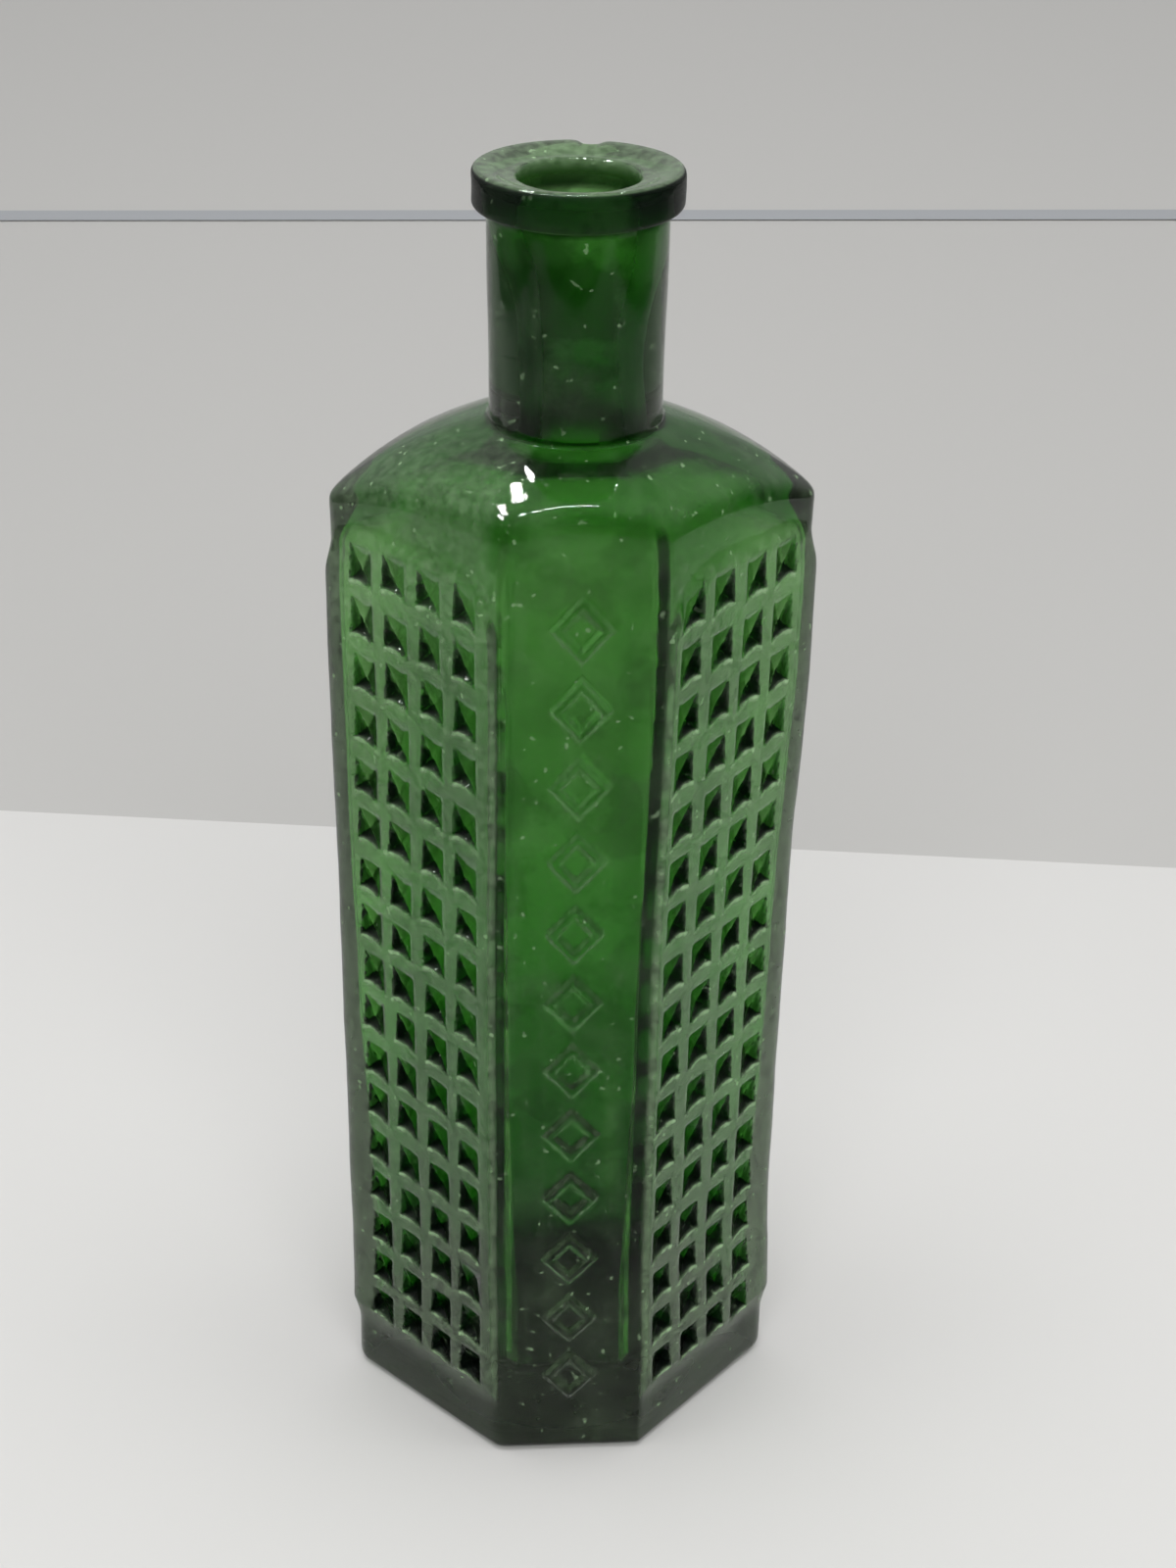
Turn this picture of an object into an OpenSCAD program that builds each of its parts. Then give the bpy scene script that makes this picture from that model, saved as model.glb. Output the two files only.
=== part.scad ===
// Six-sided glass bottle with a raised lattice on its two broad front sides, a domed six-faceted
// shoulder, a round neck and a separate ring of glass tooled into a lip.
// Millimetres. The bottle stands on z = 0, centred on the Z axis, with its plain front panel
// facing -Y and its two sharp side edges at +X and -X.

/* [Body] */
// Height over all, from the foot to the rim of the lip
total_h = 180; // [172:1:190]
// Width over the two side edges, before they are rounded
body_w = 61.8; // [58:0.2:66]
// Depth from the front panel to the back panel
body_d = 42; // [38:0.5:46]
// Width of the front panel and of the back panel, before their edges are rounded
front_w = 20; // [16:0.5:24]
// Radius of the six upright edges
edge_r = 3.2; // [1.5:0.1:4]
// Radius round the foot
foot_r = 1.6; // [0.8:0.1:2.5]
// Thickness of the side walls
wall = 3.2; // [2.4:0.1:4]
// Thickness of the glass under the hollow
base_t = 10; // [4:0.5:12]
// Depth of the hollow pressed up under the foot
kick_h = 1.4; // [0.5:0.1:2.5]

/* [Shoulder] */
// Height where the middle of a lattice side turns into the shoulder
side_break_z = 144.5; // [142:0.5:147]
// Height where the middle of the front panel turns into the shoulder
front_break_z = 145.8; // [144:0.2:147]
// Height where the neck leaves the shoulder
neck_z = 149.6; // [148:0.1:152]
// Radius of the shoulder's curve, seen from the side
dome_r = 47; // [40:1:60]
// Radius of the shoulder's curve, seen from above, where it meets a wall
plan_r = 30; // [27:1:40]

/* [Neck and lip] */
// Diameter of the neck
neck_dia = 21; // [19:0.5:23]
// Diameter of the bore that takes the cork
bore_dia = 14.3; // [12:0.1:15]
// Diameter of the lip
lip_dia = 24.7; // [23.5:0.1:27]
// Height of the lip
lip_h = 4.7; // [4:0.1:6.5]
// Depth of the dish in the top of the lip
dish_h = 1.2; // [0.6:0.1:1.8]
// Radius under the lip
lip_r = 0.7; // [0.4:0.1:1.8]
// Height of lip that stands above the end of the neck
lip_cap = 2.4; // [2:0.1:3]

/* [Lattice] */
// Columns of pits on one side
pit_cols = 4; // [3:1:4]
// Rows of pits on one side
pit_rows = 17; // [10:1:17]
// Distance between columns
col_pitch = 5.8; // [5.4:0.1:6]
// How far the columns as a group lie nearer the front edge than the side edge
col_shift = 1.6; // [0:0.1:1.8]
// Distance between rows
row_pitch = 7.42; // [7.2:0.02:7.5]
// Height of the middle of the lowest row
first_row_z = 14.1; // [14:0.1:15]
// Width of a pit's mouth
pit_w = 3.9; // [2.5:0.1:4.4]
// Height of a pit's mouth
pit_h = 5.2; // [3:0.1:5.6]
// Depth of a pit
pit_depth = 1.6; // [0.8:0.1:2]
// How far the deepest point of a pit lies towards the side edge and the foot, where 1 is its rim
pit_lean = 0.66; // [0:0.02:0.8]
// How far the lattice stands out from the wall
relief = 0.65; // [0.4:0.05:0.9]
// Foot of the raised lattice
lattice_z0 = 10.4; // [8:0.1:10.8]
// Head of the raised lattice
lattice_z1 = 136.8; // [136:0.1:138]
// Radius of the lattice's two upper corners
lattice_corner = 8; // [4:0.5:10]
// Plain strip left between the lattice and the edge of the front panel
lattice_margin = 1.3; // [1:0.1:2.4]

/* [Front ornament] */
// Number of raised lozenge outlines in the column down the front
lozenge_n = 12; // [6:1:12]
// Distance between lozenges
lozenge_pitch = 10.6; // [10:0.1:11]
// Height of the middle of the lowest lozenge
lozenge_z0 = 14.5; // [13:0.5:18]
// Width of a lozenge
lozenge_w = 7.4; // [5:0.2:9]
// Height of a lozenge
lozenge_h = 8.6; // [6:0.2:9.6]
// Width of the raised line that makes a lozenge
lozenge_stroke = 1.2; // [0.6:0.1:1.6]
// How far that line stands out
lozenge_rise = 0.6; // [0.3:0.1:1]

/* [Hidden] */
$fn = 96;
half_w = body_w / 2;
half_d = body_d / 2;
half_front = front_w / 2;
neck_r = neck_dia / 2;
bore_r = bore_dia / 2;
lip_out_r = lip_dia / 2;
glass = [0.13, 0.42, 0.12];

// A lattice side runs from the side edge at (half_w, 0) to the front edge at (half_front, -half_d)
side_len = sqrt(pow(half_w - half_front, 2) + pow(half_d, 2));
side_angle = atan2(half_d, half_w - half_front);
side_dist = half_w * half_d / side_len;

neck_top = total_h - lip_cap;
body_top = neck_z + 3;
lattice_top_row = first_row_z + (pit_rows - 1) * row_pitch;
inner_dome_r = 42;
shoulder_t = 3.4;
inner_foot_r = 4.5;
inner_reach = half_w - wall / sin(side_angle) - 1;
kick_span = 26;
rim_flat = 0.7;
over = 0.3;

// Corners of the six-sided plan whose four lattice sides stand out by grow
function plan(grow = 0) =
    let (w = half_w + grow / sin(side_angle), f = half_front + grow / sin(side_angle), d = half_d)
    [[w, 0], [f, d], [-f, d], [-w, 0], [-f, -d], [f, -d]];

function unit(v) = v / norm(v);
// Half of the inside angle at corner i, and the unit vectors to its neighbours
function to_next(p, i) = unit(p[(i + 1) % len(p)] - p[i]);
function to_last(p, i) = unit(p[(i + len(p) - 1) % len(p)] - p[i]);
function half_angle(p, i) = acos(to_next(p, i) * to_last(p, i)) / 2;
function round_centre(p, i, r) =
    p[i] + unit(to_next(p, i) + to_last(p, i)) * r / sin(half_angle(p, i));

// A six-sided plan with its corners rounded: straight sides between true arcs
module rounded_plan(p, r) {
    polygon([for (i = [0 : len(p) - 1], side = [0, 1])
        p[i] + (side == 0 ? to_last(p, i) : to_next(p, i)) * r / tan(half_angle(p, i))]);
    for (i = [0 : len(p) - 1])
        translate(round_centre(p, i, r)) circle(r = r);
}

// Puts its children on both lattice sides: X runs along the side from its middle towards the side
// edge, Y is up, Z points out of the wall
module lattice_sides() {
    for (turned = [0, 1]) mirror([turned, 0, 0])
        translate([(half_w + half_front) / 2, -half_d / 2, 0])
            rotate([0, 0, side_angle]) rotate([90, 0, 0]) children();
}

// A slab between two opposite walls, with its two lower edges rounded
module slab(angle, half, r, z0, z1) {
    rotate([0, 0, angle]) rotate([90, 0, 90])
        translate([0, 0, -body_w]) linear_extrude(2 * body_w) {
            translate([-half, z0 + r]) square([2 * half, z1 - z0 - r]);
            translate([-half + r, z0]) square([2 * half - 2 * r, r + over]);
            for (s = [-1, 1]) translate([s * (half - r), z0 + r]) circle(r = r);
        }
}

// Three slabs crossed: a six-sided prism with a rounded foot and sharp upright edges
module footed_prism(inset, foot, z0, z1) {
    intersection() {
        slab(0, half_d - inset, foot, z0, z1);
        slab(side_angle, side_dist - inset, foot, z0, z1);
        slab(-side_angle, side_dist - inset, foot, z0, z1);
    }
}

// Centre of the circle of radius r through points a (outer) and b (inner), below their chord
function arc_centre(a, b, r) =
    let (m = (a + b) / 2, c = unit(a - b), h = sqrt(r * r - pow(norm(a - b) / 2, 2)))
    m + h * [c[1], -c[0]];

// What the shoulder leaves out above one wall: all that lies over a curve that is turned about
// an upright axis behind the wall
module above_facet(dist, break_z) {
    c = arc_centre([plan_r, break_z], [plan_r - dist + neck_r, neck_z], dome_r);
    rotate_extrude() difference() {
        translate([0, side_break_z - 15]) square([plan_r * 1.4, body_top - side_break_z + 20]);
        translate(c) circle(r = dome_r, $fn = 360);
    }
}

module shoulder_cut() {
    for (s = [-1, 1])
        translate([0, s * (plan_r - half_d), 0]) above_facet(half_d, front_break_z);
    for (sx = [-1, 1], sy = [-1, 1])
        translate((plan_r - side_dist) * [-sx * sin(side_angle), -sy * cos(side_angle), 0])
            above_facet(side_dist, side_break_z);
}

// Outline of the raised lattice on one side, with its two upper corners rounded
module lattice_outline() {
    outer = side_len / 2 + 3;
    inner = -side_len / 2 + lattice_margin;
    r = lattice_corner;
    edge = side_len / 2;
    translate([inner, lattice_z0]) square([outer - inner, lattice_z1 - r - lattice_z0]);
    translate([inner + r, lattice_z0]) square([edge - inner - 2 * r, lattice_z1 - lattice_z0]);
    translate([inner + r, lattice_z1 - r]) circle(r = r);
    translate([edge - r, lattice_z1 - r]) circle(r = r);
}

// The two raised fields, which end just round the side edges
module lattice_fields() {
    intersection() {
        linear_extrude(lattice_z1 + 5) rounded_plan(plan(relief), edge_r);
        lattice_sides() translate([0, 0, -1]) linear_extrude(4) lattice_outline();
    }
}

// A leaning V-shaped groove: half is its half width at the surface, its deepest line leans to +X,
// and it runs on past the surface
module groove(half, length) {
    rise = over / pit_depth;
    rotate([90, 0, 0]) translate([0, 0, -length / 2]) linear_extrude(length)
        polygon([[-half - rise * half * (1 + pit_lean), over], [half * pit_lean, -pit_depth],
                 [half + rise * half * (1 - pit_lean), over]]);
}

// The pits of one side: four-sided hollows where upright and level grooves cross
module side_pits() {
    height = pit_rows * row_pitch;
    translate([0, 0, relief]) intersection() {
        for (i = [0 : pit_cols - 1])
            translate([(i - (pit_cols - 1) / 2) * col_pitch - col_shift,
                       (first_row_z + lattice_top_row) / 2, 0])
                groove(pit_w / 2, height);
        for (j = [0 : pit_rows - 1])
            translate([0, first_row_z + j * row_pitch, 0])
                rotate([0, 0, -90]) groove(pit_h / 2, pit_cols * col_pitch + 2 * col_shift);
    }
}

// A lozenge: the area inside it, drawn in by inset on all four edges
module lozenge(inset) {
    slant = norm([lozenge_w, lozenge_h]);
    w = lozenge_w / 2 - inset * slant / lozenge_h;
    h = lozenge_h / 2 - inset * slant / lozenge_w;
    polygon([[w, 0], [0, h], [-w, 0], [0, -h]]);
}

module front_column() {
    for (i = [0 : lozenge_n - 1])
        translate([0, over - half_d, lozenge_z0 + i * lozenge_pitch]) rotate([90, 0, 0])
            linear_extrude(lozenge_rise + over) difference() {
                lozenge(0);
                lozenge(lozenge_stroke);
            }
}

// The hollow: a smaller footed prism, eased at the side edges, under one smooth dome that is
// open to the neck
module hollow() {
    dome_z = neck_z - shoulder_t - sqrt(pow(inner_dome_r, 2) - pow(bore_r, 2));
    difference() {
        intersection() {
            footed_prism(wall, inner_foot_r, base_t, body_top);
            cylinder(r = inner_reach, h = total_h);
        }
        difference() {
            translate([0, 0, side_break_z - 18]) cylinder(r = half_w + 2, h = body_top);
            translate([0, 0, dome_z]) sphere(r = inner_dome_r, $fn = 180);
        }
    }
    translate([0, 0, side_break_z - 12]) cylinder(r = bore_r, h = total_h);
}

module kick() {
    r = (pow(kick_span / 2, 2) + pow(kick_h, 2)) / (2 * kick_h);
    translate([0, 0, kick_h - r]) sphere(r = r, $fn = 180);
}

// The blown body: foot, walls with their lattice, shoulder and neck in one piece
module bottle_body() {
    color(glass) difference() {
        union() {
            difference() {
                intersection() {
                    linear_extrude(body_top) rounded_plan(plan(), edge_r);
                    footed_prism(0, foot_r, 0, body_top);
                }
                shoulder_cut();
            }
            lattice_fields();
            front_column();
            translate([0, 0, side_break_z - 5]) cylinder(r = neck_r, h = neck_top - side_break_z + 5);
        }
        lattice_sides() side_pits();
        hollow();
        kick();
    }
}

// The applied lip: a ring laid round and over the end of the neck, dished on top
module applied_lip() {
    z0 = total_h - lip_h;
    color(glass) rotate_extrude() difference() {
        union() {
            translate([bore_r, z0 + lip_r]) square([lip_out_r - bore_r, lip_h - lip_r]);
            translate([bore_r, z0]) square([lip_out_r - lip_r - bore_r, lip_r + over]);
            translate([lip_out_r - lip_r, z0 + lip_r]) circle(r = lip_r);
        }
        translate([0, z0 - 1]) square([neck_r, neck_top - z0 + 1]);
        polygon([[bore_r - 1, total_h - dish_h], [bore_r, total_h - dish_h],
                 [lip_out_r - rim_flat, total_h], [lip_out_r - rim_flat, total_h + 1],
                 [bore_r - 1, total_h + 1]]);
    }
}

bottle_body();
applied_lip();
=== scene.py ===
"""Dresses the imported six-sided lattice bottle in green glass, as the photograph shows it."""

import math

import bpy
import numpy as np
from mathutils import Matrix, Vector


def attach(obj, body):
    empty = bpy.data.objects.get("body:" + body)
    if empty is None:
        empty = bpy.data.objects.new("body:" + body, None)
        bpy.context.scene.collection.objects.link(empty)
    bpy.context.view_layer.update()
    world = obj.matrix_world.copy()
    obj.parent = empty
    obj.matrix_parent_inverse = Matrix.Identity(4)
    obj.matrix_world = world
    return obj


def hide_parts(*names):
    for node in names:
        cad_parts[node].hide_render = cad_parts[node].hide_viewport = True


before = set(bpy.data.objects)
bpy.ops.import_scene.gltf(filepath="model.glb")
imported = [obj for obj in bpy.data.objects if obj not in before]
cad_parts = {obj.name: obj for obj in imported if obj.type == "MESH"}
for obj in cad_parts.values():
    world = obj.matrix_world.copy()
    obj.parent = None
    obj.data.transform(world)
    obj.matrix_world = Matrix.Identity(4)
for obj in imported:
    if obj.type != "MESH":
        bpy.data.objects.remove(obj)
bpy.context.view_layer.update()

MM = 0.001

# Sizes in millimetres. Those of the outline are the CAD source's, while the corners, the lattice
# and the hollow follow the photographed glass more closely.
TOTAL_H = 180.0
# Half of the width over the side edges, of a panel's width and of the depth.
HALF_W, HALF_FRONT, HALF_D = 30.9, 10.0, 21.0
SIDE_LEN = math.hypot(HALF_W - HALF_FRONT, HALF_D)
SIDE_DIST = HALF_W * HALF_D / SIDE_LEN
# Radii: side edges, left edge of the front panel, other edges of both panels, and foot.
EDGE_R, LEFT_R, FRONT_R, FOOT_R = 3.2, 3.6, 1.3, 1.6
# The hollow under the foot, and the inner edge of the ring round it that the bottle stands on.
KICK_H, KICK_R, STAND_R = 1.4, 13.0, 13.4

# The shoulder: the heights where it starts and ends, and its curves from the side and from above.
SIDE_BREAK_Z, FRONT_BREAK_Z, NECK_Z = 144.5, 145.8, 149.6
DOME_R, PLAN_R = 47.0, 30.0
# How softly the shoulder's facets run into each other.
RIDGE_BLEND = 0.25

# The neck, which widens a little towards its top.
NECK_R, NECK_GAIN, NECK_TOP_Z = 10.5, 0.2, 174.6
# The lip, with its radii below, at the rim and into the bore.
LIP_R, LIP_H = 12.35, 4.7
LIP_UNDER_R, LIP_RIM_R, LIP_MOUTH_R = 0.7, 0.8, 0.7
# The dish in the lip's face: radius and depth below the rim.
DISH = ((10.6, 0.15), (9.6, 0.55), (8.8, 0.9))
# A chip out of the lip's rim: its direction in radians, half its angle, and its depth.
CHIP_AT, CHIP_SPREAD, CHIP_DEPTH = 1.39, 0.1, 0.9

# The bore: its radius in the lip and where it is narrowest, and how far it runs off centre.
BORE_R, NECK_BORE_R, BORE_OFF = 7.15, 4.6, 0.5
# Where it starts under the lip's mouth, and how many rows of the grid it takes.
BORE_TOP_Z, BORE_ROWS = 176.5, 16
# Thickness of the wall at the panels and at the side edges, and of the base and its raised middle.
WALL, WALL_THIN, BASE_T, BASE_CROWN = 3.0, 1.8, 10.0, 1.2
# How much thicker the wall grows on its way down, and again near the foot.
GLASS_GAIN, FOOT_GAIN = 1.5, 1.6
# The hollow's domed top, how much thicker the glass is there at the neck, and the hollow's radii.
INNER_DOME_R, NECK_GLASS = 42.0, 1.1
INNER_EDGE_R, INNER_FRONT_R, INNER_REAR_R, INNER_FOOT_R = 2.0, 1.6, 7.0, 5.0

# The lattice: columns and rows of pits on each of the two broad front sides. The columns lie
# nearer the front edge than the side edge, by a shift.
COLS, ROWS, ROW_PITCH, FIRST_ROW_Z = 4, 17, 7.42, 14.3
LEFT_PITCH, LEFT_SHIFT, RIGHT_PITCH, RIGHT_SHIFT = 5.8, 1.6, 5.95, 2.3
# A pit's mouth and depth. Its deepest point leans off centre, where 1 would be the mouth's rim,
# and the foot of its mouth is arched.
PIT_W, PIT_H, PIT_DEPTH, PIT_LEAN, PIT_ARCH = 3.9, 5.7, 1.6, 0.7, 0.7
# Spread of each pit's faults: along, up, in width, in height and in depth.
PIT_FAULTS = (0.11, 0.14, 0.16, 0.24, 0.10)
# The raised field that holds the pits.
FIELD_Z0, FIELD_Z1, FIELD_CORNER, FIELD_MARGIN, RELIEF = 10.4, 136.8, 8.5, 0.5, 0.65

# The column of lozenges on the front panel.
LOZENGES, LOZENGE_PITCH, LOZENGE_Z0 = 12, 10.6, 14.5
LOZENGE_W, LOZENGE_H, LOZENGE_STROKE, LOZENGE_RISE = 7.4, 8.6, 1.2, 0.6

# Where the grid has its lines: distances from a side edge, from a panel's edge, and from a pit's
# middle along the side and upwards. They are close together where the glass turns sharply.
EDGE_STEPS = (3.6, 3.1, 2.7, 2.3, 1.9, 1.6, 1.3, 1.0, 0.7, 0.45, 0.2, 0.05)
PANEL_STEPS = (0, 0.25, 0.5, 0.8, 1.1, 1.5, 1.9, 2.4)
PIT_ALONG = (-2.3, -1.95, -1.6, -1.2, -0.8, -0.4, 0, 0.4, 0.8, 1.1, 1.36, 1.5, 1.65, 1.8, 1.95,
             2.1, 2.4, 3.0)
PIT_UP = (-3.2, -2.9, -2.65, -2.45, -2.25, -2.1, -1.95, -1.8, -1.65, -1.5, -1.35, -1.2, -1.05,
          -0.85, -0.5, 0, 0.5, 1.0, 1.5, 1.9, 2.2, 2.45, 2.7, 3.1, ROW_PITCH / 2)


def clamp01(x):
    return np.clip(x, 0.0, 1.0)


def smooth_step(a, b, x):
    t = clamp01((x - a) / (b - a))
    return t * t * (3 - 2 * t)


def soft_min(a, b, k):
    h = clamp01(0.5 + 0.5 * (b - a) / k)
    return b * (1 - h) + a * h - k * h * (1 - h)


def soft_max(a, b, k):
    return -soft_min(-a, -b, k)


# ---------------------------------------------------------------- plan
def hexagon(inset=0.0):
    """Corners of the plan whose six sides stand in by inset."""
    d = HALF_D - inset
    w = HALF_W - inset * SIDE_LEN / HALF_D
    f = w - d * (HALF_W - HALF_FRONT) / HALF_D
    return np.array([[w, 0], [f, d], [-f, d], [-w, 0], [-f, -d], [f, -d]])


def rounded_reach(angle, inset, r):
    """Distance from the axis to a plan with rounded corners, in the given directions."""
    core = hexagon(inset + r)
    a, b = core, np.roll(core, -1, axis=0)
    beyond, halvings = 60.0, 40
    low, high = np.zeros_like(angle), np.full_like(angle, beyond)
    for _ in range(halvings):
        mid = (low + high) / 2
        p = np.stack([mid * np.cos(angle), mid * np.sin(angle)], axis=1)[:, None, :]
        along = (b - a)[None]
        t = clamp01(((p - a) * along).sum(2) / (along ** 2).sum(2))
        gap = np.linalg.norm(p - a - t[..., None] * along, axis=2).min(1)
        cross = along[..., 0] * (p - a)[..., 1] - along[..., 1] * (p - a)[..., 0]
        inside = (cross > 0).all(1)
        within = inside | (gap < r)
        low, high = np.where(within, mid, low), np.where(within, high, mid)
    return (low + high) / 2


def plan_reach(angle, edge_r, left_r, front_r, rear_r):
    """Reach of the plan with its own radius at the side edges, front left, front right and rear."""
    mid_side = math.atan2(HALF_D / 2, (HALF_W + HALF_FRONT) / 2)
    near_edge = np.abs(np.cos(angle)) > math.cos(mid_side)
    near_front = np.where(np.cos(angle) < 0, rounded_reach(angle, 0, left_r),
                          rounded_reach(angle, 0, front_r))
    return np.where(near_edge, rounded_reach(angle, 0, edge_r),
                    np.where(angle < 0, near_front, rounded_reach(angle, 0, rear_r)))


def shoulder_z(x, y):
    """Height of the outer shoulder over a point: six curved facets that meet in soft ridges."""
    height = None
    walls = [((0, s), HALF_D, FRONT_BREAK_Z) for s in (-1, 1)]
    side_x, side_y = HALF_D / SIDE_LEN, (HALF_W - HALF_FRONT) / SIDE_LEN
    walls += [((sx * side_x, sy * side_y), SIDE_DIST, SIDE_BREAK_Z)
              for sx in (-1, 1) for sy in (-1, 1)]
    for (nx, ny), dist, break_z in walls:
        a = np.array([PLAN_R, break_z])
        b = np.array([PLAN_R - dist + NECK_R, NECK_Z])
        chord = a - b
        half = np.linalg.norm(chord) / 2
        u = chord / (2 * half)
        c = (a + b) / 2 + math.sqrt(DOME_R ** 2 - half ** 2) * np.array([u[1], -u[0]])
        away = np.hypot(x + nx * (PLAN_R - dist), y + ny * (PLAN_R - dist))
        z = c[1] + np.sqrt(np.maximum(DOME_R ** 2 - (away - c[0]) ** 2, 1.0))
        height = z if height is None else soft_min(height, z, RIDGE_BLEND)
    return height


# ---------------------------------------------------------------- grid lines
def around(centre, offsets):
    return [centre + o for o in offsets]


def side_stations(pitch, shift):
    """Places along a lattice side, from its front edge to its side edge."""
    half = SIDE_LEN / 2
    at = around(-half, (0, 0.2, 0.4, 0.65, 0.9, 1.2))
    for i in range(COLS):
        at += around((i - (COLS - 1) / 2) * pitch - shift, PIT_ALONG)
    at += [half - o for o in EDGE_STEPS]
    return np.array(sorted(at))


def rear_stations():
    """Places along a plain side at the back, in the same sense."""
    half = SIDE_LEN / 2
    at = around(-half, (0, 0.3, 0.7, 1.2, 2.0)) + list(np.linspace(-half + 3, half - 4.5, 20))
    return np.array(at + sorted(half - o for o in EDGE_STEPS))


def panel_stations():
    """Places across the front or back panel, closest where the lozenges are."""
    at = around(-HALF_FRONT, PANEL_STEPS) + [HALF_FRONT - o for o in PANEL_STEPS[1:]]
    at += list(np.arange(-4.5, 4.51, 0.3)) + [-7, -6.2, -5.5, -5, 5, 5.5, 6.2, 7]
    return np.array(sorted(at))


def columns():
    """For each column of the grid: its direction, its side, and its place on that side.

    place is measured from the side's middle, towards the side edge on a broad side and towards +X
    on the front and back.
    """
    angle, side, place = [], [], []
    corners = hexagon()
    for k in range(6):
        a, b = corners[k], corners[(k + 1) % 6]
        middle, length = (a + b) / 2, np.linalg.norm(b - a)
        along = (b - a) / length
        local = {0: rear_stations, 1: panel_stations, 2: rear_stations, 4: panel_stations,
                 3: lambda: side_stations(LEFT_PITCH, LEFT_SHIFT),
                 5: lambda: side_stations(RIGHT_PITCH, RIGHT_SHIFT)}[k]()
        # Broad sides 0 and 3 start at a side edge, 2 and 5 end at one.
        starts_at_edge = k in (0, 3)
        run = -local[::-1] if starts_at_edge else local
        for t in run:
            if t >= length / 2 - 1e-6:
                continue
            p = middle + along * t
            angle.append(math.atan2(p[1], p[0]))
            side.append(k)
            place.append(-t if starts_at_edge else (t if k != 1 else -t))
    return np.array(angle), np.array(side), np.array(place)


def wall_levels():
    """Heights of the rows on the walls."""
    at = [FOOT_R, 2.5, 3.5, 4.7, 6, 7.2, 8.2, 8.9, 9.5, 10.0, FIELD_Z0]
    for j in range(ROWS):
        at += around(FIRST_ROW_Z + j * ROW_PITCH, PIT_UP)
    top = at[-1]
    at += [z for z in (136.6, 136.9, 137.2, 137.6, 138.2) if z > top]
    return np.array(at)


ANGLE, SIDE, PLACE = columns()
N = len(ANGLE)
FRONT = SIDE == 4
LATTICED = (SIDE == 3) | (SIDE == 5)
REAR_SIDE = (SIDE == 0) | (SIDE == 2)
# Radial length of one millimetre of wall thickness, in each column.
RADIAL = rounded_reach(ANGLE, 0, 0.01) - rounded_reach(ANGLE, 1.0, 0.01)


def ripple(x, y, z, seed, low, high, count=14):
    """A smooth random wave of about unit height with wavelengths between low and high."""
    r = np.random.default_rng(seed)
    total = np.zeros(np.broadcast(x, y, z).shape)
    for _ in range(count):
        direction = r.normal(size=3)
        direction /= np.linalg.norm(direction)
        k = 2 * math.pi / r.uniform(low, high)
        total = total + np.sin(k * (direction[0] * x + direction[1] * y + direction[2] * z)
                               + r.uniform(0, 6.3))
    return total / math.sqrt(count / 2)


def field_depth(s, z):
    """How far a point lies inside the raised field of its side, in millimetres.

    Both upper corners are rounded. The field runs on round the side edge below its corner there.
    """
    from_front = s + SIDE_LEN / 2 - FIELD_MARGIN
    from_edge = SIDE_LEN / 2 - s
    from_top = FIELD_Z1 - z
    c = FIELD_CORNER
    inside = np.minimum(np.minimum(from_front, from_top), z - FIELD_Z0)
    rounded = [c - np.hypot(np.maximum(c - gap, 0), np.maximum(c - from_top, 0))
               for gap in (from_front, from_edge)]
    inside = np.where((from_front < c) & (from_top < c), np.minimum(inside, rounded[0]), inside)
    inside = np.where((from_edge < c) & (from_top < c), np.minimum(inside, rounded[1]), inside)
    return np.where((from_edge < c) & (from_top >= c),
                    np.minimum(inside, np.hypot(from_edge, from_top - c)), inside)


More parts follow.
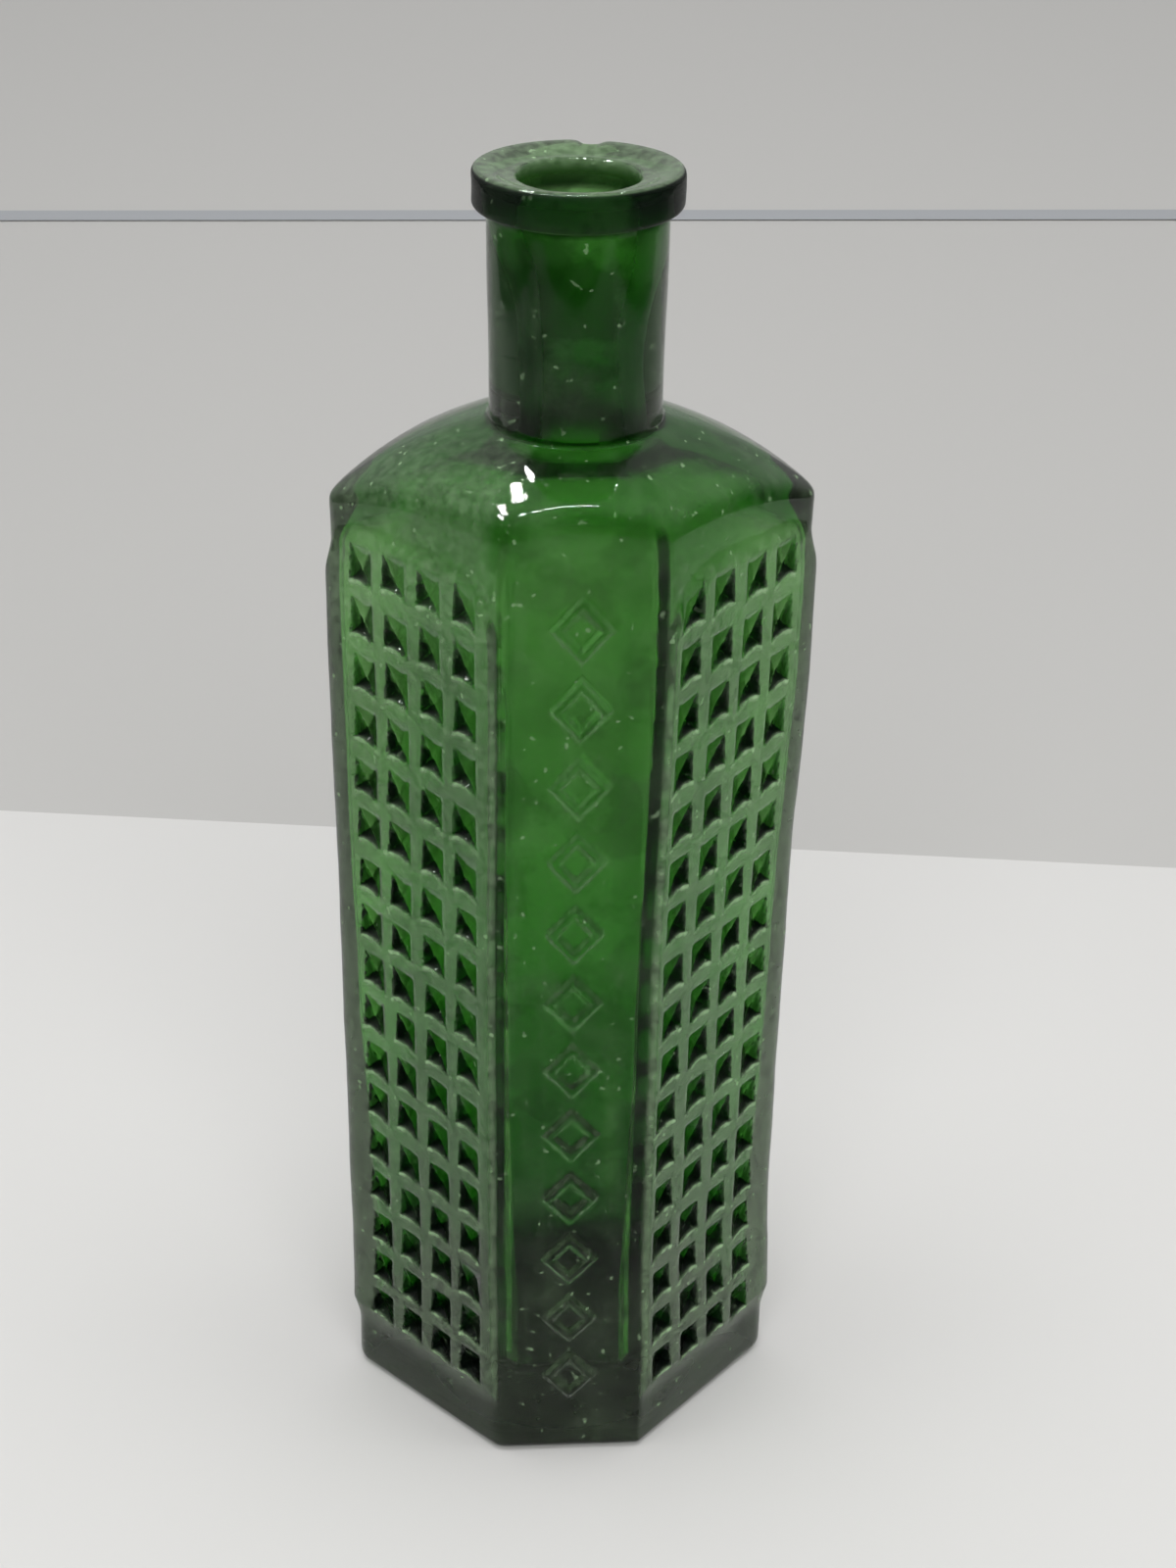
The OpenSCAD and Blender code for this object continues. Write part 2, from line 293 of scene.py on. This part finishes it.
def lattice(s, z, side):
    """The wall of a lattice side at place s and height z.

    Returns how far it stands out, where it is painted dark as shade, and where it is painted pale:
    wear, partly with painted highlight and sheen.
    """
    inside = field_depth(s, z)
    # The field's border is crisp, except at its head and its foot.
    head, foot = smooth_step(FIELD_Z1 - 8, FIELD_Z1 - 2, z), smooth_step(FIELD_Z0 + 4, FIELD_Z0, z)
    ramp = 0.5 + head + 2.2 * foot
    raised = smooth_step(-ramp, ramp, inside) * RELIEF
    # Every pit has its own small faults of place, size and depth.
    fault = np.random.default_rng(11).normal(0, 1, (len(PIT_FAULTS), 6, COLS, ROWS))
    pitch = np.where(side == 5, RIGHT_PITCH, LEFT_PITCH)
    along = s + np.where(side == 5, RIGHT_SHIFT, LEFT_SHIFT)
    i = np.clip(np.round(along / pitch + (COLS - 1) / 2), 0, COLS - 1).astype(int)
    j = np.clip(np.round((z - FIRST_ROW_Z) / ROW_PITCH), 0, ROWS - 1).astype(int)
    spread = np.array(PIT_FAULTS).reshape(-1, *[1] * s.ndim)
    shift, lift, wide, tall, deep = fault[:, side, i, j] * spread
    u = along - (i - (COLS - 1) / 2) * pitch - shift
    v = z - FIRST_ROW_Z - j * ROW_PITCH - lift
    # The deepest point leans towards the side edge and the foot, so the walls there are steep. The
    # foot of the mouth is arched: the bar below it rises in its middle.
    half_u, half_v = (PIT_W + wide) / 2, (PIT_H + tall) / 2
    arch = PIT_ARCH * clamp01(1 - ((u - 0.3) / 2.2) ** 2) + 0.12 * u
    outer = (half_u - u - 0.08 * v) / (half_u * (1 - PIT_LEAN))
    inner = (half_u + u) / (half_u * (1 + PIT_LEAN))
    lower = (half_v + v - arch) / (half_v * (1 - PIT_LEAN))
    upper = (half_v - v) / (half_v * (1 + PIT_LEAN) - arch)
    steep = np.minimum(outer, lower)
    gentle = soft_min(inner, upper, 0.12)
    share = soft_max(np.minimum(steep, gentle), np.zeros_like(s), 0.04)
    # The steep outer and lower walls of each pit are painted dark: painted shade.
    painted_dark = clamp01(share * 5) * clamp01((gentle - steep) * 6)
    # The bar under each mouth is painted pale along its upper edge, most at the outer end: partly
    # rubbed, partly a painted highlight.
    below = arch - half_v - v
    rim = smooth_step(-0.25, 0.1, below) * smooth_step(0.8, 0.2, below)
    rim = rim * smooth_step(2.5, 2.0, np.abs(u)) * (0.35 + 0.65 * smooth_step(-0.5, 1.6, u))
    # The field's border beside the front panel is painted pale too, except near its head: a painted
    # highlight on its edge.
    border = 0.3 * smooth_step(0.5, 0.1, np.abs(inside))
    border = border * smooth_step(-13, -14, s) * smooth_step(128, 120, z)
    # A thin pale film dulls the whole side, most on the bars and at the head of the left side:
    # partly wear, partly painted sheen.
    wear_and_sheen = np.maximum(rim, border) + (0.12 + 0.26 * raised / RELIEF) * (share < 0.02)
    wear_and_sheen = wear_and_sheen * np.where(side == 5, 1.5, 1.2) * smooth_step(0.6, 2.2, SIDE_LEN / 2 - s)
    wear_and_sheen = wear_and_sheen + 0.2 * (side == 3) * smooth_step(118, 134, z)
    return raised - share * (PIT_DEPTH + deep), painted_dark, wear_and_sheen


def lozenges(x, z):
    """How far the lozenge outlines stand out on the front panel, and where their edges are painted
    pale: partly wear, partly painted highlight.
    """
    v = z - LOZENGE_Z0
    v = v - np.clip(np.round(v / LOZENGE_PITCH), 0, LOZENGES - 1) * LOZENGE_PITCH
    slope = math.hypot(1 / LOZENGE_W, 1 / LOZENGE_H) * 2
    outward = (np.abs(x) * 2 / LOZENGE_W + np.abs(v) * 2 / LOZENGE_H - 1) / slope
    off_line = np.abs(outward + LOZENGE_STROKE / 2)
    half = LOZENGE_STROKE / 2
    rise = LOZENGE_RISE * smooth_step(half + 0.22, half - 0.28, off_line)
    wear_and_sheen = 0.3 * smooth_step(half + 0.35, half + 0.1, off_line)
    return rise, wear_and_sheen * smooth_step(half - 0.5, half - 0.1, off_line)


# ---------------------------------------------------------------- surface
def ring(radius, z):
    """One row of the grid from a reach and a height, either of which may vary by column."""
    radius = np.broadcast_to(np.asarray(radius, float), (N,))
    z = np.broadcast_to(np.asarray(z, float), (N,))
    return np.stack([radius * np.cos(ANGLE), radius * np.sin(ANGLE), z], axis=1)


def plan_normals(reach):
    p = np.stack([reach * np.cos(ANGLE), reach * np.sin(ANGLE)], axis=1)
    t = np.roll(p, -1, axis=0) - np.roll(p, 1, axis=0)
    n = np.stack([t[:, 1], -t[:, 0]], axis=1)
    return n / np.linalg.norm(n, axis=1)[:, None]


def arc(cx, cz, r, start, end, steps):
    """Points on an arc in the upright plane, from one angle in degrees to another."""
    a = np.radians(np.linspace(start, end, steps))
    return [(cx + r * math.cos(t), cz + r * math.sin(t)) for t in a]


def relax(rows, first, last, times):
    """Softens the corners of the profile between two rows."""
    for _ in range(times):
        part = rows[first - 1:last + 1]
        rows[first:last] = 0.25 * part[:-2] + 0.5 * part[1:-1] + 0.25 * part[2:]
    return rows


def outer_rows():
    """Rows from the middle of the underside up to the end of the neck, with their painted shade,
    their wear and their painted sheen.
    """
    reach = plan_reach(ANGLE, EDGE_R, LEFT_R, FRONT_R, FRONT_R)
    normal = plan_normals(reach)
    rows, painted_dark, wear_and_sheen = [], {}, {}
    # Underside: a shallow hollow, then the ring that the bottle stands on.
    kick_sphere = (KICK_R ** 2 + KICK_H ** 2) / (2 * KICK_H)
    for r in (1, 2.5, 4, 5.5, 7, 8.5, 10, 11, 12, 12.6):
        rows.append(ring(r, KICK_H - kick_sphere + math.sqrt(kick_sphere ** 2 - r ** 2)))
    for t in (0, 0.25, 0.5, 0.75, 0.95):
        rows.append(ring(STAND_R + (reach - FOOT_R - STAND_R) * t, 0))
    for a in (0, 15, 30, 45, 60, 75):
        s = math.radians(a)
        base = ring(reach, FOOT_R * (1 - math.cos(s)))
        base[:, :2] -= normal * FOOT_R * (1 - math.sin(s))
        rows.append(base)
    # Walls, with the lattice and the lozenges.
    from_edge = SIDE_LEN / 2 - PLACE
    broad = (SIDE != 1) & ~FRONT
    for z in wall_levels():
        level = np.full(N, z)
        out, dark, pale = (mark * LATTICED for mark in lattice(PLACE, level, SIDE))
        rise, pale_wear_and_sheen = lozenges(PLACE, level)
        # The side edges are painted dark, like the pits' steep walls: painted shade.
        painted_dark[len(rows)] = np.maximum(dark, 0.5 * smooth_step(1.6, 0.4, from_edge) * broad)
        # The lozenges' edges are painted pale, partly wear and partly painted highlight, and the
        # panel is paler near its foot.
        wear_and_sheen[len(rows)] = np.where(FRONT, pale_wear_and_sheen + 0.08 * smooth_step(40, 24, z), pale)
        # The raised field ends just round the side edge, where the two halves of the mould met.
        past_edge = smooth_step(1.3, 0.1, from_edge)
        rim = lattice(np.full(N, SIDE_LEN / 2), level, np.full(N, 3))[0]
        out = np.where(REAR_SIDE, past_edge * rim, out)
        # A grown plan has its corners further out than its walls.
        out = out * (1 + 0.41 * smooth_step(3.0, 0.3, from_edge) * broad)
        out = np.where(FRONT, rise, out)
        # The wall is slightly wavy.
        base = ring(reach, z)
        out = out + 0.04 * ripple(*base.T, 3, 9, 30) + 0.008 * ripple(*base.T, 4, 3, 7)
        base[:, :2] += normal * out[:, None]
        rows.append(base)
    # Up to the shoulder and over it to the neck.
    wall_top = wall_levels()[-1]
    edge = shoulder_z(reach * np.cos(ANGLE), reach * np.sin(ANGLE))
    corner_row = len(rows)
    # The pale film, partly painted sheen, is thickest on the left front facet of the shoulder.
    film_and_sheen = np.choose(SIDE, [0.1, 0.05, 0.1, 0.36, 0.03, 0.06])
    film_and_sheen = film_and_sheen * np.where(LATTICED, smooth_step(-SIDE_LEN / 2, -SIDE_LEN / 2 + 3, PLACE), 1)
    for t in np.linspace(0.14, 1, 8):
        wear_and_sheen[len(rows)] = film_and_sheen
        rows.append(ring(reach, wall_top + (edge - wall_top) * t))
    for t in np.linspace(0, 1, 31)[1:]:
        wear_and_sheen[len(rows)] = film_and_sheen * (1 - 0.6 * t)
        r = reach + (NECK_R - reach) * (1 - (1 - t) ** 1.25)
        rows.append(ring(r, shoulder_z(r * np.cos(ANGLE), r * np.sin(ANGLE))))
    neck_row = len(rows)
    z0 = rows[-1][:, 2]
    neck_len = 24.6
    for up in (0.25, 0.6, 1.0, 1.5, 2.1, 2.9, 4, 5.5, 7.5, 9.5, 11.5, 13.5, 15.5, 17.5, 19.5, 21.5,
               23, 23.8, 24.3):
        z = z0 + up * (NECK_TOP_Z - z0) / neck_len
        # The neck's left and right sides are painted pale: painted sheen.
        wear_and_sheen[len(rows)] = 0.14 * smooth_step(0.5, 0.9, np.abs(np.cos(ANGLE)))
        rows.append(ring(NECK_R + NECK_GAIN * smooth_step(157, 170, z), z))
    rows = np.array(rows)
    rows = relax(rows, corner_row + 1, corner_row + 30, 7)
    rows = relax(rows, neck_row - 8, neck_row + 8, 6)
    return list(rows), painted_dark, wear_and_sheen


def lip_rows():
    """Rows over the lip, from under it to the top of the bore, with the dark painted on its side and
    the wear on its face.
    """
    foot = TOTAL_H - LIP_H
    profile = [(NECK_R + NECK_GAIN, foot - 0.35), (NECK_R + 0.4, foot - 0.05)]
    profile += arc(LIP_R - LIP_UNDER_R, foot + LIP_UNDER_R + 0.05, LIP_UNDER_R, -80, 0, 6)
    profile += [(LIP_R, foot + up) for up in (1.4, 2.3, 3.3)]
    profile += arc(LIP_R - LIP_RIM_R, TOTAL_H - LIP_RIM_R, LIP_RIM_R, 0, 90, 6)
    # The face starts half way round the rim.
    face = len(profile) - 3
    profile += [(r, TOTAL_H - depth) for r, depth in DISH]
    profile += arc(BORE_R + LIP_MOUTH_R, TOTAL_H - 1.7, LIP_MOUTH_R, 80, 180, 6)
    rows, painted_dark, wear_and_sheen = [], [], []
    for i, (r, z) in enumerate(profile):
        # It was tooled by hand, so it is slightly out of round and out of level.
        wobble = 0.06 * np.sin(ANGLE * 2 + 0.7) + 0.05 * np.sin(ANGLE * 3 + z)
        sway = 0.05 * np.sin(ANGLE * 2 + 2.0)
        chip = CHIP_DEPTH * np.exp(-((ANGLE - CHIP_AT) / CHIP_SPREAD) ** 2)
        chip = chip * smooth_step(10.4, 11.4, r) * (i >= face - 3)
        rows.append(ring(r + wobble * (r > NECK_R), z + sway - chip))
        # Its side is painted dark, and its face is rubbed pale.
        painted_dark.append(np.full(N, 0.0 if i >= face else 1.0))
        wear_and_sheen.append(np.full(N, 0.5 if i >= face else 0.02))
    return rows, painted_dark, wear_and_sheen


def wall_inset(angle):
    """Thickness of the wall in plan: thin at the two side edges, thick at the panels."""
    return WALL_THIN + (WALL - WALL_THIN) * smooth_step(0.12, 0.75, np.abs(np.sin(angle)))


def inner_plan():
    """Reach of the hollow in plan."""
    reach = plan_reach(ANGLE, INNER_EDGE_R, INNER_FRONT_R, INNER_FRONT_R, INNER_REAR_R)
    return reach - wall_inset(ANGLE) * RADIAL


def inner_rows():
    """Rows from the top of the bore down the inside to the middle of the floor."""
    rows = []
    for z in list(np.linspace(BORE_TOP_Z, 150.5, BORE_ROWS - 3)) + [148.6, 147.2, 146, 145]:
        narrow = (BORE_R - NECK_BORE_R) * smooth_step(176, 158, z) * smooth_step(143, 149, z)
        wave = 0.12 * ripple(7 * np.cos(ANGLE), 7 * np.sin(ANGLE), z, 21, 8, 24)
        row = ring(BORE_R - narrow + wave * smooth_step(177, 172, z), z)
        row[:, 0] += BORE_OFF * smooth_step(176, 168, z)
        rows.append(row)
    reach = inner_plan()
    normal = plan_normals(reach)
    dome_top = NECK_Z - 3.4
    dome_z = dome_top - math.sqrt(INNER_DOME_R ** 2 - BORE_R ** 2)
    start = len(rows)
    for t in np.linspace(0, 1, 17)[1:]:
        r = BORE_R + (reach - BORE_R) * t ** 0.9
        # The glass is thick where the neck comes down into the shoulder.
        thick = NECK_GLASS * smooth_step(13, 6, r)
        rows.append(ring(r, dome_z + np.sqrt(INNER_DOME_R ** 2 - r ** 2) - thick))
    top = rows[-1][:, 2]
    corner = len(rows)
    foot = BASE_T + INNER_FOOT_R
    for t in np.linspace(0, 1, 57)[1:]:
        # The glass thickens towards the foot.
        base = ring(reach, top + (foot - top) * t)
        thicker = GLASS_GAIN * smooth_step(0.05, 1, t) ** 0.8 + FOOT_GAIN * smooth_step(0.6, 1, t)
        wave = 0.10 * ripple(*base.T, 5, 15, 60) * smooth_step(0, 0.15, t)
        base[:, :2] -= normal * (wave + thicker)[:, None]
        rows.append(base)
    reach = np.hypot(base[:, 0], base[:, 1])
    for a in (15, 30, 45, 60, 75, 90):
        s = math.radians(a)
        base = ring(reach, foot - INNER_FOOT_R * math.sin(s))
        base[:, :2] -= normal * INNER_FOOT_R * (1 - math.cos(s))
        rows.append(base)
    last = np.hypot(rows[-1][:, 0], rows[-1][:, 1])
    for t in (0.85, 0.7, 0.55, 0.4, 0.25, 0.1):
        rows.append(ring(last * t, BASE_T + BASE_CROWN * (1 - t) ** 2))
    rows = np.array(rows)
    rows = relax(rows, start - 3, start + 6, 8)
    rows = relax(rows, corner - 5, corner + 8, 10)
    return list(rows)


def closed_surface(rows, bottom, top):
    """A closed mesh from rows of equal length, with a point at either end."""
    n = len(rows[0])
    points = np.concatenate([np.array([bottom])] + rows + [np.array([top])])
    faces = []
    for j in range(n):
        k = (j + 1) % n
        faces.append((0, 1 + k, 1 + j))
    for i in range(len(rows) - 1):
        a = 1 + i * n
        b = a + n
        for j in range(n):
            k = (j + 1) % n
            faces.append((a + j, a + k, b + k, b + j))
    last = len(points) - 1
    a = 1 + (len(rows) - 1) * n
    for j in range(n):
        k = (j + 1) % n
        faces.append((a + j, a + k, last))
    return points, faces


def add_mesh(name, points, faces, material):
    mesh = bpy.data.meshes.new(name)
    mesh.from_pydata((points * MM).tolist(), [], faces)
    mesh.validate()
    mesh.update()
    mesh.shade_smooth()
    mesh.set_sharp_from_angle(angle=math.radians(34))
    obj = bpy.data.objects.new(name, mesh)
    bpy.context.scene.collection.objects.link(obj)
    mesh.materials.append(material)
    return obj


# ---------------------------------------------------------------- materials
def new_material(name):
    mat = bpy.data.materials.new(name)
    mat.use_nodes = True
    mat.node_tree.nodes.clear()
    return mat, mat.node_tree.nodes, mat.node_tree.links


def math_node(nodes, links, operation, a, b):
    """One arithmetic step, held between 0 and 1; a and b are sockets or plain numbers."""
    node = nodes.new("ShaderNodeMath")
    node.operation = operation
    node.use_clamp = True
    for socket, value in zip(node.inputs, (a, b)):
        if isinstance(value, (int, float)):
            socket.default_value = value
        else:
            links.new(value, socket)
    return node.outputs[0]


def noise_node(nodes, links, scale, low, high, detail=3.0, stretch=(1, 1, 1)):
    """Noise over the object, faded from 0 at the value low to 1 at the value high."""
    where = nodes.new("ShaderNodeTexCoord")
    place = nodes.new("ShaderNodeMapping")
    place.inputs["Scale"].default_value = stretch
    noise = nodes.new("ShaderNodeTexNoise")
    noise.inputs["Scale"].default_value = scale
    noise.inputs["Detail"].default_value = detail
    fade = nodes.new("ShaderNodeMapRange")
    fade.inputs["From Min"].default_value = low
    fade.inputs["From Max"].default_value = high
    links.new(where.outputs["Object"], place.inputs["Vector"])
    links.new(place.outputs["Vector"], noise.inputs["Vector"])
    links.new(noise.outputs["Fac"], fade.inputs["Value"])
    return fade.outputs["Result"]


def mark_node(nodes, name):
    node = nodes.new("ShaderNodeAttribute")
    node.attribute_name = name
    return node.outputs["Fac"]


def glass_material():
    """Green glass with a dull, rubbed and spotted skin that also carries painted sheen and
    highlights, painted shade in its pits and at its side edges, a lip painted dark, and residue
    inside.
    """
    mat, nodes, links = new_material("emerald_glass")
    out = nodes.new("ShaderNodeOutputMaterial")

    def step(operation, a, b):
        return math_node(nodes, links, operation, a, b)

    body = nodes.new("ShaderNodeBsdfPrincipled")
    body.inputs["Base Color"].default_value = (1, 1, 1, 1)
    body.inputs["Transmission Weight"].default_value = 1.0
    body.inputs["IOR"].default_value = 1.52
    body.inputs["Specular Tint"].default_value = (0.25, 0.25, 0.25, 1)
    rough = nodes.new("ShaderNodeMapRange")
    rough.inputs["To Min"].default_value = 0.03
    rough.inputs["To Max"].default_value = 0.2
    rough.clamp = False
    links.new(mark_node(nodes, "inside"), rough.inputs["Value"])
    links.new(rough.outputs["Result"], body.inputs["Roughness"])

    # The surface isn't quite smooth: it breaks up what it mirrors.
    bump = nodes.new("ShaderNodeBump")
    bump.inputs["Distance"].default_value = 0.00001
    links.new(noise_node(nodes, links, 1100.0, 0.0, 1.0), bump.inputs["Height"])
    links.new(bump.outputs["Normal"], body.inputs["Normal"])

    # The skin: a thin veil everywhere, patches of haze, specks, and pale edges and bars that are
    # partly rubbed and partly painted highlight and sheen.
    haze_and_sheen = nodes.new("ShaderNodeBsdfPrincipled")
    haze_and_sheen.inputs["Base Color"].default_value = (0.40, 0.60, 0.34, 1)
    haze_and_sheen.inputs["Roughness"].default_value = 0.7
    haze_and_sheen.inputs["Specular IOR Level"].default_value = 0.2
    patches = noise_node(nodes, links, 140.0, 0.48, 0.75)
    grain = noise_node(nodes, links, 900.0, 0.35, 0.7)
    specks = noise_node(nodes, links, 800.0, 0.70, 0.76, detail=1.0)
    uneven = step("ADD", step("MULTIPLY", grain, 0.35), 0.2)
    pale_wear_and_sheen = step("MULTIPLY", mark_node(nodes, "wear_and_sheen"), uneven)
    streaks = noise_node(nodes, links, 420.0, 0.55, 0.8, stretch=(1, 1, 0.08))
    veil = step("ADD", step("MULTIPLY", patches, 0.05), step("MULTIPLY", specks, 0.35))
    veil = step("ADD", veil, step("MULTIPLY", streaks, 0.05))
    skin = step("ADD", step("ADD", veil, 0.001), pale_wear_and_sheen)
    skin = step("MULTIPLY", skin, step("SUBTRACT", 1.0, mark_node(nodes, "inside")))
    dulled = nodes.new("ShaderNodeMixShader")
    links.new(skin, dulled.inputs[0])
    links.new(body.outputs[0], dulled.inputs[1])
    links.new(haze_and_sheen.outputs[0], dulled.inputs[2])

    # A near-black coat: painted shade in the pits and at the side edges, the painted dark of the
    # lip's side, and residue inside.
    shade_and_residue_coat = nodes.new("ShaderNodeBsdfPrincipled")
    shade_and_residue_coat.inputs["Base Color"].default_value = (0.002, 0.005, 0.003, 1)
    shade_and_residue_coat.inputs["Roughness"].default_value = 0.6
    shade_and_residue_coat.inputs["Specular IOR Level"].default_value = 0.1
    residue = step("MULTIPLY", noise_node(nodes, links, 95.0, 0.50, 0.57, detail=7.0), 0.2)
    residue = step("MULTIPLY", residue, mark_node(nodes, "inside"))
    shaded_and_soiled = nodes.new("ShaderNodeMixShader")
    shade_and_residue_share = step("ADD", step("MULTIPLY", mark_node(nodes, "painted_dark"), 0.7), residue)
    links.new(shade_and_residue_share, shaded_and_soiled.inputs[0])
    links.new(dulled.outputs[0], shaded_and_soiled.inputs[1])
    links.new(shade_and_residue_coat.outputs[0], shaded_and_soiled.inputs[2])
    links.new(shaded_and_soiled.outputs[0], out.inputs["Surface"])

    # The green of the glass itself, which is deeper the further light runs through it.
    volume = nodes.new("ShaderNodeVolumeAbsorption")
    volume.inputs["Color"].default_value = (0.19, 0.625, 0.015, 1)
    volume.inputs["Density"].default_value = 508.0
    links.new(volume.outputs[0], out.inputs["Volume"])
    return mat


def plain_material(name, colour):
    mat, nodes, links = new_material(name)
    out = nodes.new("ShaderNodeOutputMaterial")
    body = nodes.new("ShaderNodeBsdfPrincipled")
    body.inputs["Base Color"].default_value = (*colour, 1)
    body.inputs["Roughness"].default_value = 0.9
    body.inputs["Specular IOR Level"].default_value = 0.2
    links.new(body.outputs[0], out.inputs["Surface"])
    return mat


# ---------------------------------------------------------------- camera
def set_camera():
    """The photograph's viewpoint, fitted to it: lengths in millimetres, angles in radians."""
    picture_h, focal_length, sensor = 1600, 2404, 36.0
    distance, height, shift_x = 269.26, 251.76, -2.9945
    roll, yaw, pan, tilt = 0.0178, 0.0731, -0.0026, 0.5172
    eye = Vector((-shift_x, -distance, height))
    level = math.cos(tilt)
    forward = Vector((math.sin(pan) * level, math.cos(pan) * level, -math.sin(tilt)))
    right = forward.cross(Vector((0, 0, 1))).normalized()
    up = right.cross(forward)
    across = math.cos(roll) * right + math.sin(roll) * up
    upright = -math.sin(roll) * right + math.cos(roll) * up
    turn = Matrix.Rotation(-yaw, 3, "Z")
    axes = Matrix((turn @ across, turn @ upright, turn @ -forward)).transposed().to_4x4()
    data = bpy.data.cameras.new("photo_camera")
    data.sensor_fit = "AUTO"
    data.sensor_width = sensor
    data.lens = focal_length / picture_h * sensor
    data.clip_start, data.clip_end = 0.01, 20
    camera = bpy.data.objects.new("photo_camera", data)
    camera.matrix_world = Matrix.Translation((turn @ eye) * MM) @ axes
    bpy.context.scene.collection.objects.link(camera)
    bpy.context.scene.camera = camera


# ---------------------------------------------------------------- stage
def set_stage():
    """A white sheet under the bottle and a pale board that slopes up behind it.

    Millimetres. The sheet and the board meet in a line that runs aslant behind the bottle.
    """
    slant = Matrix.Rotation(math.radians(-7.5), 3, "Z")
    left, right, front, back, far, rise = -460, 460, -460, 150, 600, 0.27

    def sheet(name, corners, colour):
        points = np.array([slant @ Vector(c) for c in corners])
        paint = plain_material(name + "_paint", colour)
        add_mesh(name, points, [(0, 1, 2, 3)], paint)

    sheet("floor", [(left, front, 0), (right, front, 0), (right, back, 0), (left, back, 0)],
          (0.72, 0.715, 0.70))
    sheet("board", [(left, back, 0), (right, back, 0), (right, far, (far - back) * rise),
                    (left, far, (far - back) * rise)], (0.55, 0.545, 0.53))
    # A thin blue-grey strip crosses the board, level in the photograph: the painted shadow in the
    # gap of a seam.
    seam_shadow, lean, thick = 233.0, 0.065, 5.0
    sheet("seam_shadow", [(x, back + run + lean * x, (run + lean * x) * rise + 0.4) for x, run in
                   ((left, seam_shadow), (right, seam_shadow), (right, seam_shadow + thick), (left, seam_shadow + thick))],
          (0.40, 0.415, 0.435))


# ---------------------------------------------------------------- light
def area_light(name, place, target, size, power):
    data = bpy.data.lights.new(name, "AREA")
    data.shape = "RECTANGLE"
    data.size, data.size_y = size
    data.energy = power
    lamp = bpy.data.objects.new(name, data)
    lamp.location = place
    lamp.rotation_euler = (Vector(target) - Vector(place)).to_track_quat("-Z", "Y").to_euler()
    bpy.context.scene.collection.objects.link(lamp)
    return lamp


def set_light():
    """Lamps and room. Places and sizes are in metres here."""
    # Soft light from above and from the front, which the glass doesn't mirror.
    for name, place, size, power in (("ceiling", (0.0, -0.05, 0.9), (0.9, 0.3), 3.2),
                                     ("fill", (0.0, -0.7, 0.75), (0.8, 0.5), 4.4)):
        area_light(name, place, (0, 0.05, 0.1), size, power).visible_glossy = False
    # What it does mirror, besides the room, is a frame of thin lamps overhead, for its glints.
    lamp_z, glow, left_size = 0.75, 130 * math.pi, (0.026, 0.1)
    left_places = ((-0.15, 0.35), (-0.2, 0.26), (-0.255, 0.17), (-0.3, 0.08), (-0.32, -0.01))
    frame_lamps = [("front", (-0.05, -0.01), (0.32, 0.03)), ("right", (0.17, 0.3), (0.02, 0.08))]
    frame_lamps += [(f"left_{i}", place, left_size) for i, place in enumerate(left_places)]
    for name, (x, y), (width, depth) in frame_lamps:
        lamp = area_light(name, (x, y, lamp_z), (x, y, 0), (width, depth), glow * width * depth)
        lamp.visible_diffuse = False
        lamp.visible_transmission = False
    world = bpy.data.worlds.new("room")
    world.use_nodes = True
    tree = world.node_tree
    light = tree.nodes["Background"]
    light.inputs["Color"].default_value = (1, 1, 1, 1)
    # The room is bright overhead and behind, and dark on the camera's side.
    way = tree.nodes.new("ShaderNodeTexCoord")
    dot = tree.nodes.new("ShaderNodeVectorMath")
    dot.operation = "DOT_PRODUCT"
    dot.inputs[1].default_value = (0, 0.45, 0.89)
    tree.links.new(way.outputs["Generated"], dot.inputs[0])
    fade = tree.nodes.new("ShaderNodeMapRange")
    fade.interpolation_type = "SMOOTHSTEP"
    fade.inputs["From Min"].default_value = -0.1
    fade.inputs["From Max"].default_value = 0.9
    fade.inputs["To Min"].default_value = 0.04
    fade.inputs["To Max"].default_value = 0.64
    tree.links.new(dot.outputs["Value"], fade.inputs["Value"])
    tree.links.new(fade.outputs["Result"], light.inputs["Strength"])
    bpy.context.scene.world = world
    bpy.context.scene.view_settings.view_transform = "Standard"


# ---------------------------------------------------------------- bottle
def settle(points):
    """Gives the body the slight sideways faults that the photographed one has.

    Its left edge lies further out, most at the foot, and its right edge is drawn in halfway up.
    """
    x, z = points[:, 0], points[:, 2]
    left = 0.45 + 0.4 * smooth_step(26, 8, z)
    right = 0.9 * smooth_step(122, 78, z) * smooth_step(8, 34, z) - 0.15
    share = clamp01((x + 30) / 60)
    points[:, 0] -= (left * (1 - share) + right * share) * smooth_step(151, 141, z)
    return points


def bottle():
    """One closed skin of glass: up the outside, over the lip, down the bore and round the hollow."""
    outside, painted_dark, wear_and_sheen = outer_rows()
    lip, lip_painted_dark, lip_worn = lip_rows()
    for marks, on_lip in ((painted_dark, lip_painted_dark), (wear_and_sheen, lip_worn)):
        marks.update((len(outside) + i, values) for i, values in enumerate(on_lip))
    outside += lip
    inside = inner_rows()
    points, faces = closed_surface(outside + inside, (0, 0, KICK_H), (0, 0, BASE_T + BASE_CROWN))
    glass = add_mesh("bottle_glass", settle(points), faces, glass_material())
    # The bore is left rougher than the hollow that was blown in the mould.
    inner = {len(outside) + i: np.full(N, 2.2 if i < BORE_ROWS else 1.0)
             for i in range(len(inside))}
    for name, rows in (("inside", inner), ("painted_dark", painted_dark), ("wear_and_sheen", wear_and_sheen)):
        marks = np.zeros(len(points), np.float32)
        for row, values in rows.items():
            marks[1 + row * N:1 + (row + 1) * N] = values
        layer = glass.data.attributes.new(name, "FLOAT", "POINT")
        layer.data.foreach_set("value", marks)
    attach(glass, "root")
    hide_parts("bottle_body", "applied_lip")


set_camera()
set_stage()
set_light()
bottle()
